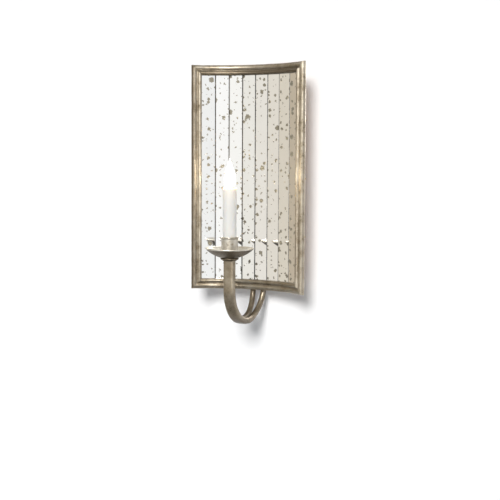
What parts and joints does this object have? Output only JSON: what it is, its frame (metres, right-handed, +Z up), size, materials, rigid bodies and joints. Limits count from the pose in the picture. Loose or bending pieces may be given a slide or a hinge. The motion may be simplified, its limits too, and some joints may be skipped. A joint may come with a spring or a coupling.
{
  "type": "wall sconce",
  "caption": "Electric wall sconce with a candle on a forked arm in front of a tall concave panel of antiqued mirror strips.",
  "frame": {"origin": "middle of the mounting strap where it meets the wall", "axes": "+Z up, +X to the right as seen from the room, +Y into the wall"},
  "size_m": [0.228, 0.1882, 0.474],
  "materials": {
    "frame_leaf": "worn silver leaf over brown",
    "mirror": "antiqued silvering",
    "board": "raw",
    "saddle_wood": "raw",
    "zinc": "zinc plated",
    "brass": "bright",
    "green_screw": "gloss",
    "pan_metal": "satin champagne",
    "arm_leaf": "worn silver leaf over brown",
    "socket_mould": "gloss",
    "sleeve_white": "satin",
    "bulb_glass": "clear",
    "filament": "bright",
    "black_wire": "satin",
    "white_wire": "satin",
    "wire_nut": "gloss"
  },
  "bodies": {
    "fixture": {"top_rail": "frame_leaf", "bottom_rail": "frame_leaf", "left_stile": "frame_leaf", "right_stile": "frame_leaf", "mirror_strip_1": "mirror", "mirror_strip_2": "mirror", "mirror_strip_3": "mirror", "mirror_strip_4": "mirror", "mirror_strip_5": "mirror", "mirror_strip_6": "mirror", "mirror_strip_7": "mirror", "mirror_strip_8": "mirror", "backing_board": "board", "retaining_clips": "zinc", "clip_screws": "brass", "upper_saddle": "saddle_wood", "lower_saddle": "saddle_wood", "saddle_screws": "zinc", "wall_pan": "pan_metal", "mounting_strap": "zinc", "side_screws": "brass", "ground_screw": "green_screw", "arm_bar": "arm_leaf", "left_prong": "arm_leaf", "right_prong": "arm_leaf", "prong_nuts": "brass", "collar": "arm_leaf", "drip_pan": "arm_leaf", "candle_cup": "arm_leaf", "cup_nipple": "brass", "cup_nut": "brass", "socket_bracket": "zinc", "bracket_rivet": "brass", "socket_body": "socket_mould", "socket_shell": "brass", "socket_contact": "brass", "hot_lead": "black_wire", "neutral_lead": "white_wire", "wire_nuts": "wire_nut"},
    "sleeve": {"candle_sleeve": "sleeve_white"},
    "bulb": {"bulb_cap": "brass", "bulb_insulator": "socket_mould", "bulb_glass": "bulb_glass", "bulb_stem": "bulb_glass", "filament": "filament"}
  },
  "joints": [
    {"name": "sleeve_lift", "type": "slide", "parent": "fixture", "child": "sleeve", "axis": [0, 0, 1], "range_m": [0, 0.175]},
    {"name": "bulb_turn", "type": "hinge", "parent": "fixture", "child": "bulb", "pos_m": [0, -0.1446, 0.03], "axis": [0, 0, 1], "continuous": true}
  ]
}
